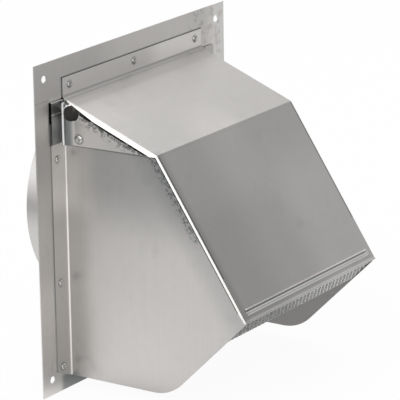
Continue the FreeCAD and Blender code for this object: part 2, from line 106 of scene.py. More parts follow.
def addNode(tree, kind, settings=None, **inputs):
    # An input is named by its socket, or by the socket's number as i0, i1 and so on
    node = tree.nodes.new(kind)
    for key, value in (settings or {}).items():
        setattr(node, key, value)
    for key, value in inputs.items():
        numbered = key[0] == "i" and key[1:].isdigit()
        socket = node.inputs[int(key[1:])] if numbered else node.inputs[key]
        if isinstance(value, bpy.types.NodeSocket):
            tree.links.new(value, socket)
        else:
            socket.default_value = value
    return node


def maths(tree, operation, a, b=0.0, c=0.0):
    return addNode(tree, "ShaderNodeMath", {"operation": operation}, i0=a, i1=b, i2=c).outputs[0]


def product(tree, result, *others):
    for other in others:
        result = maths(tree, "MULTIPLY", result, other)
    return result


def measured(tree, operation, a, b):
    # DISTANCE or DOT_PRODUCT: one number from two vectors
    return addNode(tree, "ShaderNodeVectorMath", {"operation": operation}, i0=a, i1=b).outputs["Value"]


def ramp(tree, value, low, high, start, end):
    settings = {"interpolation_type": "SMOOTHSTEP"}
    node = addNode(tree, "ShaderNodeMapRange", settings, i0=value, i1=low, i2=high, i3=start, i4=end)
    return node.outputs[0]


def stretched(tree, place, scale):
    return addNode(tree, "ShaderNodeMapping", None, Vector=place, Scale=scale).outputs[0]


fineDetail = 3.0  # octaves of the finer noises


def noise(tree, place, scale, detail=2.0, stretch=(1, 1, 1)):
    spread = stretched(tree, place, stretch)
    return addNode(tree, "ShaderNodeTexNoise", None, Vector=spread, Scale=scale, Detail=detail).outputs[0]


def bumped(tree, height, distance, **others):
    settings = {"Strength": 1.0, "Distance": distance, "Height": height, **others}
    return addNode(tree, "ShaderNodeBump", None, **settings).outputs[0]


def mixedShader(tree, share, first, second):
    return addNode(tree, "ShaderNodeMixShader", None, i0=share, i1=first.outputs[0], i2=second.outputs[0])


def grey(level):
    return (level, level, level, 1)


def startMaterial(name):
    material = bpy.data.materials.new(name)
    material.use_nodes = True
    tree = material.node_tree
    tree.nodes.clear()
    place = addNode(tree, "ShaderNodeTexCoord").outputs["Object"]
    return material, tree, place


def endMaterial(tree, colour, **inputs):
    shader = addNode(tree, "ShaderNodeBsdfPrincipled", None, **inputs)
    tree.links.new(colour, shader.inputs["Base Color"])
    addNode(tree, "ShaderNodeOutputMaterial", None, Surface=shader.outputs[0])


# Studio: white surroundings for the eye, soft grey and white boxes for the metal to reflect.
# A soft box fades from its inner to its outer cosine, and a floor patch from its inner to its outer radius.

studio = {
    "ambient": 0.42,
    "worldColour": 0.8,
    "softBoxes": [
        {"towards": (0.80, 0.20, 0.60), "inner": 0.96, "outer": 0.80, "add": 0.44},
        {"towards": (0.80, 0.55, 0.24), "inner": 0.985, "outer": 0.94, "add": 0.9},
        {"towards": (0.80, -0.47, 0.37), "inner": 0.98, "outer": 0.85, "add": 0.16},
        {"towards": (-0.86, -0.05, 0.45), "inner": 0.94, "outer": 0.70, "add": 1.9},
        {"towards": (-0.55, 0.60, 0.55), "inner": 0.95, "outer": 0.70, "add": 0.6},
    ],
    "floorSize": 12.0,
    "floorColour": 0.90,
    "floorGlow": 0.95,
    "floorBase": 0.58,
    "floorPatches": [
        {"centre": (-0.16, 0.05), "inner": 0.06, "outer": 0.60, "add": 0.42},
        {"centre": (-0.60, 0.40), "inner": 0.10, "outer": 0.45, "add": -0.26},
        {"centre": (-0.42, -0.30), "inner": 0.10, "outer": 0.30, "add": 0.9},
    ],
    # a painted shadow on the floor under the hood, which only the metal sees in reflection
    "paintedShadowUnderHood": {"centre": (0.0, -0.06), "inner": 0.075, "outer": 0.135, "dim": 0.58},
}


def buildWorld(setup):
    world = bpy.data.worlds.new("studio")
    scene.world = world
    world.use_nodes = True
    tree = world.node_tree
    tree.nodes.clear()
    direction = addNode(tree, "ShaderNodeTexCoord").outputs["Generated"]
    level = setup["ambient"]
    for box in setup["softBoxes"]:
        near = measured(tree, "DOT_PRODUCT", direction, Vector(box["towards"]).normalized())
        level = maths(tree, "ADD", ramp(tree, near, box["outer"], box["inner"], 0, box["add"]), level)
    seen = addNode(tree, "ShaderNodeLightPath").outputs["Is Camera Ray"]
    white = 1 / setup["worldColour"]
    strength = addNode(tree, "ShaderNodeMix", {"data_type": "FLOAT"}, i0=seen, i2=level, i3=white).outputs[0]
    glow = addNode(tree, "ShaderNodeBackground", None, Color=grey(setup["worldColour"]), Strength=strength)
    addNode(tree, "ShaderNodeOutputWorld", None, Surface=glow.outputs[0])


def patchLevel(tree, place, patch, size):
    reach = measured(tree, "DISTANCE", place, patch["centre"] + (floorHeight,))
    return ramp(tree, reach, patch["inner"], patch["outer"], size, 0)


def makeFloorMaterial(setup):
    # The eye sees white with the object's shadow, the metal sees soft glowing patches dimmed by a painted
    # shadow under the hood, and other rays plain matt
    material, tree, place = startMaterial("paleFloor")
    path = addNode(tree, "ShaderNodeLightPath")
    level = setup["floorBase"]
    for patch in setup["floorPatches"]:
        level = maths(tree, "ADD", patchLevel(tree, place, patch, patch["add"]), level)
    dim = patchLevel(tree, place, setup["paintedShadowUnderHood"], setup["paintedShadowUnderHood"]["dim"])
    level = maths(tree, "MULTIPLY", level, maths(tree, "SUBTRACT", 1.0, dim))
    matt = addNode(tree, "ShaderNodeBsdfDiffuse", None, Color=grey(setup["floorColour"]))
    white = addNode(tree, "ShaderNodeEmission", None, Strength=1.0)
    toMetal = addNode(tree, "ShaderNodeEmission", None, Strength=level)
    toEye = mixedShader(tree, setup["floorGlow"], matt, white)
    mattOrEye = mixedShader(tree, path.outputs["Is Camera Ray"], matt, toEye)
    final = mixedShader(tree, path.outputs["Is Glossy Ray"], mattOrEye, toMetal)
    addNode(tree, "ShaderNodeOutputMaterial", None, Surface=final.outputs[0])
    return material


def buildFloor(setup):
    shape = bmesh.new()
    bmesh.ops.create_grid(shape, x_segments=1, y_segments=1, size=setup["floorSize"] / 2)
    bmesh.ops.translate(shape, verts=shape.verts, vec=(0, 0, floorHeight))
    mesh = bpy.data.meshes.new("floor")
    shape.to_mesh(mesh)
    shape.free()
    mesh.materials.append(makeFloorMaterial(setup))
    floor = bpy.data.objects.new("floor", mesh)
    scene.collection.objects.link(floor)


lamps = [
    {"name": "overhead", "at": (0.5, 0.2, 1.5), "size": 1.4, "watts": 8.0},
    {"name": "leftFront", "at": (-1.4, -1.1, 0.9), "size": 0.9, "watts": 5.0},
]


def addLamp(setup):
    data = bpy.data.lights.new(setup["name"], "AREA")
    data.shape = "DISK"
    data.size = setup["size"]
    data.energy = setup["watts"]
    lamp = bpy.data.objects.new(setup["name"], data)
    scene.collection.objects.link(lamp)
    lamp.location = setup["at"]
    lamp.rotation_euler = (-Vector(setup["at"])).to_track_quat("-Z", "Y").to_euler()


buildWorld(studio)
buildFloor(studio)
for lampSetup in lamps:
    addLamp(lampSetup)
print("studio built")


# Steps that the pieces share

looseMerge = 0.000002  # the frame's meshes are loose triangles until their corners are merged
bodyOf = {}
for bodyName, members in frame["record"]["behaviour"]["bodies"].items():
    for member in members:
        bodyOf[member] = bodyName


def plainName(node):
    words = node.split("_")
    return words[0] + "".join(word.capitalize() for word in words[1:])


def mergedCopy(node):
    mesh = frame["nodes"][node].data.copy()
    mesh.name = plainName(node)
    shape = bmesh.new()
    shape.from_mesh(mesh)
    bmesh.ops.remove_doubles(shape, verts=shape.verts, dist=looseMerge)
    shape.to_mesh(mesh)
    shape.free()
    return mesh


def smoothFaces(mesh, sharpAngle):
    mesh.polygons.foreach_set("use_smooth", [True] * len(mesh.polygons))
    mesh.set_sharp_from_angle(angle=math.radians(sharpAngle))


def cutAcross(shape, point, outward, clear=False):
    everything = shape.verts[:] + shape.edges[:] + shape.faces[:]
    bmesh.ops.bisect_plane(shape, geom=everything, plane_co=point, plane_no=outward, clear_outer=clear)


def islandBoxes(mesh):
    # The lowest and highest corner of each loose part
    shape = bmesh.new()
    shape.from_mesh(mesh)
    bmesh.ops.remove_doubles(shape, verts=shape.verts, dist=looseMerge)
    left = dict.fromkeys(shape.verts)  # keeps the mesh's own order
    boxes = []
    while left:
        found = [next(iter(left))]
        del left[found[0]]
        for vertex in found:
            for edge in vertex.link_edges:
                other = edge.other_vert(vertex)
                if other in left:
                    del left[other]
                    found.append(other)
        low = Vector([min(vertex.co[axis] for vertex in found) for axis in range(3)])
        high = Vector([max(vertex.co[axis] for vertex in found) for axis in range(3)])
        boxes.append((low, high))
    shape.free()
    return boxes


def rivetCentres(*nodes):
    return [tuple((low + high) / 2) for node in nodes for low, high in islandBoxes(frame["nodes"][node].data)]


def finishPiece(mesh, node, material, body):
    piece = bpy.data.objects.new(mesh.name, mesh)
    scene.collection.objects.link(piece)
    mesh.materials.clear()
    mesh.materials.append(material)
    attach(piece, body)
    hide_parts(node)
    return piece


# The cover's outer faces: a point (y, z) on each, and the way down it

slopes = {
    "top": {"point": (-0.0014, 0.0921), "along": (-0.0778, -0.0315)},
    "front": {"point": (-0.0792, 0.0606), "along": (-0.0711, -0.1098)},
}


def wayDown(slope):
    dy, dz = slope["along"]
    length = math.hypot(dy, dz)
    return dy / length, dz / length


def wayIn(slope):
    dy, dz = wayDown(slope)
    return -dz, dy


def lengthAlong(point, start, way):
    return (point.y - start[0]) * way[0] + (point.z - start[1]) * way[1]


def depthBelow(point, slope):
    return lengthAlong(point, slope["point"], wayIn(slope))


def alongNodes(tree, y, z, start, way):
    # lengthAlong as nodes
    offset = -(way[0] * start[0] + way[1] * start[1])
    return maths(tree, "MULTIPLY_ADD", y, way[0], maths(tree, "MULTIPLY_ADD", z, way[1], offset))


# Tones. A mark scales a sheet's colour in a region. Most marks are painted light and shade (painted
# highlights, glints and contact shadows), and a few are smudges. Its bounds are (low, high) or (low, high,
# softness) along x, y, z, "side" (the distance from the middle), "top" and "front" (the depth below the
# cover's outer faces) or "down" (the way down its front). "ragged" breaks it up with noise: (scale, low,
# high).

def within(tree, value, low, high, soft):
    rising = ramp(tree, value, low - soft, low, 0, 1)
    return maths(tree, "MULTIPLY", rising, ramp(tree, value, high, high + soft, 1, 0))


def swing(tree, value, amount, middle=1):
    # From middle - amount where value is 0 to middle + amount where it is 1
    return maths(tree, "MULTIPLY_ADD", value, 2 * amount, middle - amount)


def soften(tree, share, tone):
    # 1 where share is 0, and tone where it is 1
    return maths(tree, "MULTIPLY_ADD", share, tone - 1, 1.0)


def shade(tree, colour, tone):
    return addNode(tree, "ShaderNodeVectorMath", {"operation": "SCALE"}, Vector=colour, Scale=tone).outputs[0]


def markAxes(tree, place):
    split = addNode(tree, "ShaderNodeSeparateXYZ", None, Vector=place)
    x, y, z = split.outputs
    found = {"x": x, "y": y, "z": z, "side": maths(tree, "ABSOLUTE", x)}
    for name, slope in slopes.items():
        found[name] = alongNodes(tree, y, z, slope["point"], wayIn(slope))
    found["down"] = alongNodes(tree, y, z, slopes["front"]["point"], wayDown(slopes["front"]))
    return found


def markTone(tree, place, marks):
    tone = 1.0
    known = markAxes(tree, place)
    for mark in marks:
        share = 1.0
        for axis, value in known.items():
            if axis in mark:
                low, high, *own = mark[axis]
                soft = own[0] if own else mark["soft"]
                share = maths(tree, "MULTIPLY", share, within(tree, value, low, high, soft))
        if "ragged" in mark:
            scale, low, high = mark["ragged"]
            rough = ramp(tree, noise(tree, place, scale, fineDetail), low, high, 0, 1)
            share = maths(tree, "MULTIPLY", share, rough)
        tone = maths(tree, "MULTIPLY", tone, soften(tree, share, mark["tone"]))
    return tone


def nearestCentre(tree, place, centres):
    reach = 1.0
    for centre in centres:
        reach = maths(tree, "MINIMUM", reach, measured(tree, "DISTANCE", place, centre))
    return reach


def ringTone(tree, place, rings):
    # Rings round rivets and holes: darker round the rivets, and a painted highlight on the holes' rims.
    # "across" leaves x out of the distance, and "glints" keep parts of a ring.
    tone = 1.0
    for ring in rings:
        spot = stretched(tree, place, (0, 1, 1)) if ring.get("across") else place
        reach = nearestCentre(tree, spot, ring["centres"])
        share = within(tree, reach, ring["inner"], ring["outer"], ring["soft"])
        if "glints" in ring:
            reach = nearestCentre(tree, spot, ring["glints"])
            lit = ramp(tree, reach, ring["glintInner"], ring["glintOuter"], 1, 0)
            share = maths(tree, "MULTIPLY", share, lit)
        tone = maths(tree, "MULTIPLY", tone, soften(tree, share, ring["tone"]))
    return tone


# Mill-finish sheet: rolling grain along one axis, soft dents, faint clouds, mottle, handling stains
# and each sheet's own marks and rings, which are mostly painted light and shade

millSheet = {
    "warm": (0.655, 0.635, 0.618),
    "cool": (0.600, 0.622, 0.612),
    "coolTone": 0.45,
    "warmTone": 0.95,
    "brightest": 0.97,
    "roughness": 0.33,
    "roughSwing": 0.04,
    "grainAxis": 2,
    "grainAcross": 900.0,
    "grainAlong": 14.0,
    "grainDepth": 0.00002,
    "grainTone": 0.030,
    "cloudScale": 11.0,
    "cloudTone": 0.045,
    "mottleScale": 150.0,
    "mottleTone": 0.03,
    "dentScale": 16.0,
    "dentDetail": 1.0,
    "dentDepth": 0.0005,
    "stainScale": 34.0,
    "stainDetail": 4.0,
    "stainFrom": 0.60,
    "stainTo": 0.78,
    "stainTone": 0.10,
    "marks": [],
    "rings": [],
}


def makeSheetMaterial(name, changes):
    finish = {**millSheet, **changes}
    material, tree, place = startMaterial(name)
    stretch = [finish["grainAcross"]] * 3
    stretch[finish["grainAxis"]] = finish["grainAlong"]
    grain = noise(tree, place, 1.0, fineDetail, stretch)
    cloud = noise(tree, place, finish["cloudScale"])
    mottle = noise(tree, place, finish["mottleScale"], fineDetail)
    dent = noise(tree, place, finish["dentScale"], finish["dentDetail"])
    stain = noise(tree, place, finish["stainScale"], finish["stainDetail"])
    stain = ramp(tree, stain, finish["stainFrom"], finish["stainTo"], 0, 1)
    tone = product(
        tree,
        swing(tree, grain, finish["grainTone"]),
        swing(tree, cloud, finish["cloudTone"]),
        swing(tree, mottle, finish["mottleTone"]),
        soften(tree, stain, 1 - finish["stainTone"]),
        markTone(tree, place, finish["marks"]),
        ringTone(tree, place, finish["rings"]),
    )
    # Where the tone is darker, painted shade included, the colour turns towards the cool one
    warmth = ramp(tree, tone, finish["coolTone"], finish["warmTone"], 0, 1)
    mix = addNode(tree, "ShaderNodeMix", {"data_type": "VECTOR"}, i0=warmth)
    mix.inputs[4].default_value = finish["cool"]
    mix.inputs[5].default_value = finish["warm"]
    toned = shade(tree, mix.outputs[1], tone)
    limit = (finish["brightest"],) * 3
    colour = addNode(tree, "ShaderNodeVectorMath", {"operation": "MINIMUM"}, i0=toned, i1=limit)
    rough = swing(tree, mottle, finish["roughSwing"], finish["roughness"])
    dented = bumped(tree, maths(tree, "MULTIPLY", dent, finish["dentDepth"]), 1.0)
    bump = bumped(tree, grain, finish["grainDepth"], Normal=dented)
    endMaterial(tree, colour.outputs[0], Roughness=rough, Metallic=1.0, Normal=bump)
    return material


# Bounds that the marks share

flangeEdge = -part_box("left_cheek")[0][0]
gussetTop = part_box("left_gusset")[1][2]
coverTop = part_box("hood_cover")[1][2]
beyond = 0.2  # past everything
plateFront = (-0.01, -0.0006, 0.0002)
frontPanel = (-beyond, -0.0800)
cheekWall = (0.08, 0.0886)
cheekFlange = (0.0890, beyond)
gussetWall = (0.08, 0.0912)
leftTab = (-beyond, -0.0912)
cutEdge = (flangeEdge - 0.00006, beyond)

# A darker ring round each rivet, and a painted highlight on parts of the rim of each gusset's hole

darkRivetRing = {"inner": 0.0, "outer": 0.0029, "soft": 0.0006, "tone": 0.62}
holeCentre = (0, -0.0084, 0.0814)
glintAway = (0, 0.0042, 0.0040)
holeRimHighlight = {
    "across": True,
    "centres": [holeCentre],
    "inner": 0.0050,
    "outer": 0.00635,
    "soft": 0.0002,
    "tone": 5.0,
    "glints": [[at + turn * away for at, away in zip(holeCentre, glintAway)] for turn in (-1, 1)],
    "glintInner": 0.0028,
    "glintOuter": 0.0044,
}

# The sheets' finishes

plateFinish = {
    "roughness": 0.38,
    "marks": [
        # light and shade across the plate, and the hood's shade on its lower margin
        {"x": (-0.01, beyond), "z": (0.09, beyond), "soft": 0.05, "tone": 1.18},
        {"x": (0.112, beyond), "z": (-0.02, 0.115), "soft": 0.022, "tone": 1.31},
        {"x": (-beyond, -0.10), "z": (-0.02, 0.055), "soft": 0.035, "tone": 0.88},
        {"x": (-beyond, -0.10), "z": (-0.11, -0.05), "soft": 0.02, "tone": 1.06},
        {"z": (-beyond, -0.117), "soft": 0.005, "tone": 1.08},
        {"x": (-0.094, beyond), "z": (-beyond, -0.1120), "y": plateFront, "soft": 0.007, "tone": 0.50},
        # painted contact shadows along the hood's flanges
        {"side": (flangeEdge - 0.001, flangeEdge + 0.0005), "z": (0.0600, gussetTop), "y": plateFront,
         "soft": 0.0002, "tone": 0.06},
        {"side": (flangeEdge - 0.001, flangeEdge + 0.0004), "z": (-0.065, 0.060), "y": plateFront,
         "soft": 0.0003, "tone": 0.80},
        {"side": (0.0870, 0.0892), "z": (0.0915, coverTop), "y": plateFront, "soft": 0.0004, "tone": 0.50},
        {"side": (0.0, 0.0892), "z": (coverTop - 0.001, coverTop + 0.0006), "y": plateFront,
         "soft": 0.0004, "tone": 0.55},
        # a faint line at the left and a smudge in the upper right corner
        {"x": (-beyond, -0.1045), "z": (0.0932, 0.0938), "y": plateFront, "soft": 0.0004, "tone": 0.85},
        {"x": (0.080, 0.118), "z": (0.085, 0.118), "y": plateFront, "soft": 0.012,
         "ragged": (130.0, 0.50, 0.64), "tone": 0.80},
    ],
}
coverFinish = {
    "grainAxis": 0,
    "rings": [{**darkRivetRing, "centres": rivetCentres("cover_rivets")}],
    "marks": [
        # painted light on the wall flange, painted shade at its bend and on the top panel, and its cut edges
        # painted dark
        {"y": (-0.0040, 0.0), "z": (0.0940, beyond), "soft": 0.001, "tone": 1.24},
        {"y": (-0.0040, 0.0), "z": (0.0940, beyond), "x": (0.04, 0.10, 0.03), "soft": 0.001, "tone": 1.24},
        {"y": (-0.0045, -0.0022), "z": (0.0895, 0.0935), "soft": 0.0008, "tone": 0.86},
        {"y": (-0.0095, -0.0045), "soft": 0.007, "tone": 0.88},
        {"y": (-0.0785, -0.0120), "soft": 0.003, "tone": 0.93},
        {"z": (coverTop - 0.00008, coverTop + 0.001), "soft": 0.00002, "tone": 0.35},
        {"side": (0.08842, 0.0892), "z": (0.0930, beyond), "soft": 0.00002, "tone": 0.35},
        # light and shade down the front
        {"y": frontPanel, "x": (-beyond, -0.060), "soft": 0.05, "tone": 0.86},
        {"down": (0.0, 0.035), "x": (-beyond, 0.0), "soft": 0.03, "tone": 1.08},
        {"down": (0.060, 0.135), "x": (0.045, beyond), "soft": 0.05, "tone": 1.16},
        {"y": frontPanel, "x": (-0.0880, -0.0855), "soft": 0.006, "tone": 0.84},
        {"y": frontPanel, "side": (0.0865, 0.0875), "z": (-0.020, 0.060), "soft": 0.0003, "tone": 0.50},
        # painted highlights and shade along the bead, a painted glint at its right end, and a painted
        # highlight on the hem's fold
        {"side": (0.0, 0.0820), "down": (0.1211, 0.1217), "soft": 0.0003, "tone": 0.95},
        {"side": (0.0, 0.0828), "down": (0.1222, 0.1231), "soft": 0.0002, "tone": 0.42},
        {"side": (0.0, 0.0825), "down": (0.1235, 0.1241), "soft": 0.0002, "tone": 2.60},
        {"side": (0.0, 0.0820), "down": (0.1244, 0.1250), "soft": 0.0002, "tone": 0.80},
        {"side": (0.0, 0.0820), "down": (0.1252, 0.1258), "soft": 0.0002, "tone": 1.75},
        {"side": (0.0, 0.0840), "down": (0.1264, 0.1275), "soft": 0.0003, "tone": 0.88},
        {"x": (0.0790, 0.0835), "down": (0.1212, 0.1248), "soft": 0.0004, "ragged": (900.0, 0.44, 0.52),
         "tone": 2.2},
        {"down": (0.1289, 0.1297), "front": (-0.001, 0.0005), "soft": 0.0003, "tone": 1.40},
        # painted highlight on the side lips
        {"side": (0.0885, beyond), "soft": 0.0002, "tone": 1.50},
    ],
}
cheekFinish = {
    "rings": [{**darkRivetRing, "centres": rivetCentres("left_cheek_rivets", "right_cheek_rivets")}],
    "marks": [
        # cut edge painted dark, and painted light and shade on the wall flange
        {"side": cutEdge, "soft": 0.00002, "tone": 0.60},
        {"side": cheekFlange, "z": (0.03, 0.08, 0.03), "soft": 0.0008, "tone": 1.32},
        {"side": cheekFlange, "soft": 0.0008, "tone": 0.88},
        # light and shade across the side wall
        {"side": cheekWall, "y": (-0.011, 0.0, 0.014), "soft": 0.0004, "tone": 0.85},
        {"side": cheekWall, "y": (-0.011, 0.0, 0.020), "z": (0.02, 0.09, 0.02), "soft": 0.0004, "tone": 1.26},
        {"side": cheekWall, "z": (0.035, 0.09, 0.045), "soft": 0.0004, "tone": 0.77},
        {"side": cheekWall, "y": (-beyond, -0.035, 0.02), "z": (-beyond, -0.045, 0.04), "soft": 0.0004,
         "tone": 0.94},
        {"side": cheekWall, "front": (0.0, 0.004), "soft": 0.022, "tone": 0.82},
        # painted contact shadow beside the front lip, and ragged dark streaks next to it
        {"side": cheekWall, "front": (0.0, 0.0034), "z": (-0.043, 0.07), "soft": 0.0004, "tone": 0.10},
        {"side": cheekWall, "front": (0.0030, 0.0065), "z": (0.005, 0.056), "soft": 0.004,
         "ragged": (520.0, 0.40, 0.62), "tone": 0.48},
        # painted contact shadow below the gusset, and a painted highlight along the flange's bend
        {"side": (0.08, 0.0874), "z": (0.0577, 0.0584), "soft": 0.0003, "tone": 0.60},
        {"side": (0.08, 0.0878), "y": (-0.0022, -0.0014), "soft": 0.0002, "tone": 1.70},
    ],
}
gussetFinish = {
    "stainTone": 0.16,
    "rings": [
        {**darkRivetRing, "centres": rivetCentres("left_gusset_rivet", "right_gusset_rivet"), "outer": 0.0037},
        holeRimHighlight,
    ],
    "marks": [
        # painted shade on the wall tab, its cut edge painted black as a shadow gap, and a painted highlight
        # on its top edge
        {"side": cutEdge, "soft": 0.00002, "tone": 0.04},
        {"x": leftTab, "soft": 0.0003, "tone": 0.50},
        {"x": leftTab, "z": (gussetTop - 0.0003, beyond), "soft": 0.0001, "tone": 6.0},
        # light and shade across the wall
        {"side": gussetWall, "y": (-0.0062, -0.0030, 0.0045), "soft": 0.003, "tone": 0.36},
        {"side": gussetWall, "y": (-beyond, -0.0100), "soft": 0.002, "tone": 1.20},
        {"side": gussetWall, "y": (-beyond, -0.0450, 0.020), "soft": 0.002, "tone": 0.93},
        # ragged painted shadow just below the top lip, and ragged dark streaks below it
        {"top": (0.0, 0.0056), "side": gussetWall, "y": (-beyond, -0.0110), "soft": 0.0004,
         "ragged": (300.0, 0.34, 0.44), "tone": 0.08},
        {"top": (0.0, 0.0070), "side": gussetWall, "y": (-0.070, -0.0130), "soft": 0.0020,
         "ragged": (620.0, 0.40, 0.58), "tone": 0.36},
        {"top": (0.0, 0.0085), "side": gussetWall, "y": (-0.068, -0.0110), "soft": 0.005,
         "ragged": (380.0, 0.46, 0.60), "tone": 0.60},
        # painted highlight along the tab's bend
        {"side": (0.0894, 0.0912), "y": (-0.0030, -0.0021), "soft": 0.0002, "tone": 6.0},
    ],
}
collarFinish = {"dentDepth": 0.0003, "grainAxis": 1, "warm": (0.61, 0.60, 0.59)}
flapFinish = {"dentDepth": 0.0004, "grainAxis": 0}
bracketFinish = {"dentDepth": 0.0001}

cheekSheet = makeSheetMaterial("millSheetSide", cheekFinish)
gussetSheet = makeSheetMaterial("millSheetGusset", gussetFinish)
bracketSheet = makeSheetMaterial("millSheetSmall", bracketFinish)
sheets = {
    "wall_plate": makeSheetMaterial("millSheetPlate", plateFinish),
    "duct_collar": makeSheetMaterial("millSheetCollar", collarFinish),
    "hood_cover": makeSheetMaterial("millSheetCover", coverFinish),
    "left_cheek": cheekSheet,
    "right_cheek": cheekSheet,
    "left_gusset": gussetSheet,
    "right_gusset": gussetSheet,
    "damper_flap": makeSheetMaterial("millSheetFlap", flapFinish),
    "left_pivot_bracket": bracketSheet,
    "right_pivot_bracket": bracketSheet,
}


# Plain finishes: one colour with a fine grain

plainFinishes = {
    "expandedMesh": {"colour": (0.66, 0.66, 0.65), "roughness": 0.36, "metallic": 1.0,
                     "grainScale": 900.0, "grainDepth": 0.00003, "grainTone": 0.10},
    "rivetAluminium": {"colour": (0.52, 0.52, 0.51), "roughness": 0.24, "metallic": 1.0,
                       "grainScale": 1400.0, "grainDepth": 0.00002, "grainTone": 0.08},
    "zincPlatedRod": {"colour": (0.56, 0.57, 0.58), "roughness": 0.30, "metallic": 1.0,
                      "grainScale": 1200.0, "grainDepth": 0.00002, "grainTone": 0.08},
    "mouldedNylon": {"colour": (0.80, 0.79, 0.74), "roughness": 0.50, "metallic": 0.0,
                     "grainScale": 1500.0, "grainDepth": 0.00002, "grainTone": 0.03},
    "closedCellFoam": {"colour": (0.045, 0.045, 0.047), "roughness": 0.90, "metallic": 0.0,
                       "grainScale": 1800.0, "grainDepth": 0.00025, "grainTone": 0.35},
}
plainSwing = 0.05  # of the roughness, to each side


def makePlainMaterial(name, finish):
    material, tree, place = startMaterial(name)
    grain = noise(tree, place, finish["grainScale"], fineDetail)
    bump = bumped(tree, grain, finish["grainDepth"])
    rough = swing(tree, grain, plainSwing, finish["roughness"])
    colour = shade(tree, finish["colour"], swing(tree, grain, finish["grainTone"]))
    endMaterial(tree, colour, Roughness=rough, Metallic=finish["metallic"], Normal=bump)
    return material


plain = {name: makePlainMaterial(name, finish) for name, finish in plainFinishes.items()}
print("finishes made")


# Cover: its side lips stand out a little from the walls that they cover, more so towards their free edge

lipFlare = {
    "side": 0.0876,  # the lips lie outside this
    "wall": 0.0020,  # and no nearer the wall than this
    "hem": 0.1298,  # and no further down the front than this
    "start": 0.0007,
    "flare": 0.26,
    "topTrim": 0.14,
    "frontTrim": 0.28,
}


def flareLips(mesh, setup):
    top, front = slopes["top"], slopes["front"]
    for vertex in mesh.vertices:
        point = vertex.co
        slope, trim = top, setup["topTrim"]
        if depthBelow(point, front) < depthBelow(point, top):
            slope, trim = front, setup["frontTrim"]
        reach = depthBelow(point, slope) - setup["start"]
        down = lengthAlong(point, front["point"], wayDown(front))
        onLip = abs(point.x) > setup["side"] and point.y < -setup["wall"] and down < setup["hem"]
        if onLip and reach > 0:
            inY, inZ = wayIn(slope)
            point.x += math.copysign(setup["flare"] * reach, point.x)
            point.y -= trim * reach * inY
            point.z -= trim * reach * inZ


# Gussets: beside the wall tab the wall is set out over the cheek's bend, clear of the cover's lip

gussetSet = {
    "side": 0.0890,
    "out": 0.0024,
    "near": 0.0028,
    "far": 0.0105,
    "steps": 6,
    "lip": 0.0018,
    "clear": 0.0032,
    "lipSteps": 2,
}


def stations(start, end, steps):
    return [start + (end - start) * step / steps for step in range(steps + 1)]


def shareOf(value, start, end):
    # 0 at the start and 1 at the end, and held past them
    return min(1, max(0, (value - start) / (end - start)))


def setGussetOut(mesh, setup):
    shape = bmesh.new()
    shape.from_mesh(mesh)
    for depth in stations(setup["near"], setup["far"], setup["steps"]):
        cutAcross(shape, (0, -depth, 0), (0, -1, 0))
    start = Vector((0,) + slopes["top"]["point"])
    down = Vector((0,) + slopes["top"]["along"]).normalized()
    inwards = Vector((0, -down.z, down.y))
    for depth in stations(setup["lip"], setup["clear"], setup["lipSteps"]):
        cutAcross(shape, start + inwards * depth, inwards)
    for vertex in shape.verts:
        beside = shareOf(vertex.co.y, -setup["far"], -setup["near"])
        below = shareOf(depthBelow(vertex.co, slopes["top"]), setup["lip"], setup["clear"])
        if abs(vertex.co.x) < setup["side"]:
            rise = beside * beside * (3 - 2 * beside)
            vertex.co.x += math.copysign(setup["out"] * below * rise, vertex.co.x)
    shape.to_mesh(mesh)
    shape.free()


# Sheet pieces: smoothed copies of the frame's sheets, with their cut edges broken

sheetEdge = {
    "sharpAngle": 28.0,
    "breakAngle": 55.0,
    "breakWidth": 0.00012,
    "breakSegments": 2,
    "evenedWeight": 100,
}


def breakEdges(piece, setup):
    broken = piece.modifiers.new("brokenEdges", "BEVEL")
    broken.limit_method = "ANGLE"
    broken.angle_limit = math.radians(setup["breakAngle"])
    broken.width = setup["breakWidth"]
    broken.segments = setup["breakSegments"]
    evened = piece.modifiers.new("evenedFaces", "WEIGHTED_NORMAL")
    evened.mode = "FACE_AREA"
    evened.weight = setup["evenedWeight"]
    evened.keep_sharp = True


for node, material in sheets.items():
    mesh = mergedCopy(node)
    if node == "hood_cover":
        flareLips(mesh, lipFlare)
    if node.endswith("gusset"):
        setGussetOut(mesh, gussetSet)
    smoothFaces(mesh, sheetEdge["sharpAngle"])
    breakEdges(finishPiece(mesh, node, material, bodyOf[node]), sheetEdge)
print("sheets dressed")


# Bird screen: expanded mesh, bent along the frame's screen

birdScreen = {
    "diamondLong": 0.0050,
    "diamondShort": 0.0050,
    "strand": 0.0010,
    "gauge": 0.0006,
    "wallFlange": 0.0110,
    "foldDepth": 0.1323,
    "foldDrop": 0.0660,
    "lipDepth": 0.1478,
    "lipDrop": 0.0503,
    "returnDepth": 0.0046,
    "returnRise": 0.0071,
    "spareGrid": 1.1,  # the turned grid starts larger than the screen
    "merge": 0.00001,
}


def screenRoute(setup, low, high):
    wall = high.y - setup["gauge"] / 2
    lipY, lipZ = -setup["lipDepth"], -setup["lipDrop"]
    return [
        Vector((0, wall, low.z)),
        Vector((0, wall, low.z + setup["wallFlange"])),
        Vector((0, -setup["foldDepth"], -setup["foldDrop"])),
        Vector((0, lipY, lipZ)),
        Vector((0, lipY + setup["returnDepth"], lipZ + setup["returnRise"])),
    ]


def alongRoute(route, distance):
    for start, end in zip(route, route[1:]):
        run = (end - start).length
        if distance <= run or end is route[-1]:
            return start + (end - start) * (distance / run)
        distance -= run


